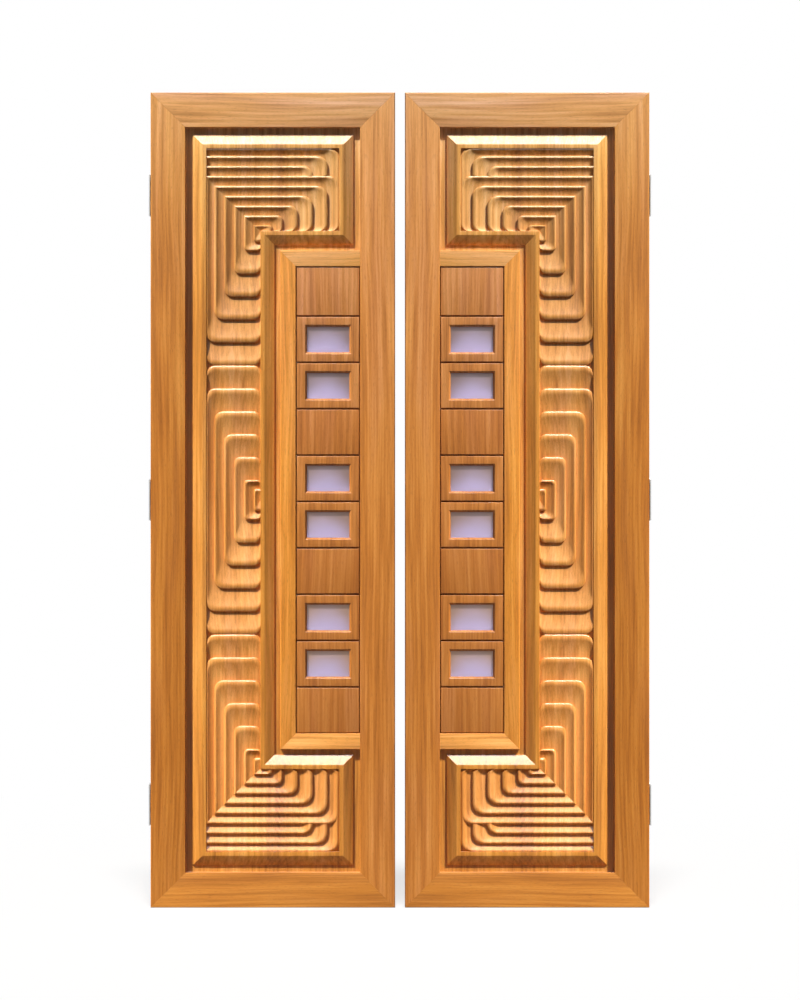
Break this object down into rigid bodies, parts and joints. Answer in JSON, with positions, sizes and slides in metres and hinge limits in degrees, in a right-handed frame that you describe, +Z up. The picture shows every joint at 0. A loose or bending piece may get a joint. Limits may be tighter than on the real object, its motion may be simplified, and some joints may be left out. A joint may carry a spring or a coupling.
{
  "type": "double door",
  "caption": "Pair of carved hardwood door leaves with mitred frames, C-shaped panels of nested terraces and columns of small frosted windows, hung on butt hinges.",
  "frame": {"origin": "on the line of the leaves' bottom edges, midway between the leaves and midway through the thickness of their frames", "axes": "+X along the door to the right as seen from its carved front, +Y from front to back, +Z up"},
  "size_m": [1.239, 0.0525, 2],
  "materials": {
    "teak_stile": "satin clear varnish, upright grain",
    "teak_rail": "satin clear varnish, level grain",
    "teak_panel": "satin clear varnish, upright grain",
    "teak_bar": "satin clear varnish",
    "teak_block": "satin clear varnish, upright grain",
    "frosted_glass": "acid-etched, pale and milky",
    "satin_steel": "satin stainless"
  },
  "bodies": {
    "jambs": {"left_jamb_plates": "satin_steel", "left_hinge_pins": "satin_steel", "right_jamb_plates": "satin_steel", "right_hinge_pins": "satin_steel"},
    "left_leaf": {"left_hinge_stile": "teak_stile", "left_meeting_stile": "teak_stile", "left_top_rail": "teak_rail", "left_bottom_rail": "teak_rail", "left_carved_panel": "teak_panel", "left_inner_top_bar": "teak_bar", "left_inner_side_bar": "teak_bar", "left_inner_bottom_bar": "teak_bar", "left_plain_block_1": "teak_block", "left_plain_block_2": "teak_block", "left_plain_block_3": "teak_block", "left_plain_block_4": "teak_block", "left_window_block_1": "teak_block", "left_window_block_2": "teak_block", "left_window_block_3": "teak_block", "left_window_block_4": "teak_block", "left_window_block_5": "teak_block", "left_window_block_6": "teak_block", "left_glass_pane_1": "frosted_glass", "left_glass_pane_2": "frosted_glass", "left_glass_pane_3": "frosted_glass", "left_glass_pane_4": "frosted_glass", "left_glass_pane_5": "frosted_glass", "left_glass_pane_6": "frosted_glass", "left_glazing_beads": "teak_bar", "left_hinge_plates": "satin_steel", "left_hinge_screws": "satin_steel"},
    "right_leaf": {"right_hinge_stile": "teak_stile", "right_meeting_stile": "teak_stile", "right_top_rail": "teak_rail", "right_bottom_rail": "teak_rail", "right_carved_panel": "teak_panel", "right_inner_top_bar": "teak_bar", "right_inner_side_bar": "teak_bar", "right_inner_bottom_bar": "teak_bar", "right_plain_block_1": "teak_block", "right_plain_block_2": "teak_block", "right_plain_block_3": "teak_block", "right_plain_block_4": "teak_block", "right_window_block_1": "teak_block", "right_window_block_2": "teak_block", "right_window_block_3": "teak_block", "right_window_block_4": "teak_block", "right_window_block_5": "teak_block", "right_window_block_6": "teak_block", "right_glass_pane_1": "frosted_glass", "right_glass_pane_2": "frosted_glass", "right_glass_pane_3": "frosted_glass", "right_glass_pane_4": "frosted_glass", "right_glass_pane_5": "frosted_glass", "right_glass_pane_6": "frosted_glass", "right_glazing_beads": "teak_bar", "right_hinge_plates": "satin_steel", "right_hinge_screws": "satin_steel"}
  },
  "joints": [
    {"name": "left_swing", "type": "hinge", "parent": "jambs", "child": "left_leaf", "pos_m": [-0.6135, 0.0265, 0], "axis": [0, 0, 1], "range_deg": [0, 110]},
    {"name": "right_swing", "type": "hinge", "parent": "jambs", "child": "right_leaf", "pos_m": [0.6135, 0.0265, 0], "axis": [0, 0, -1], "range_deg": [0, 110]}
  ]
}
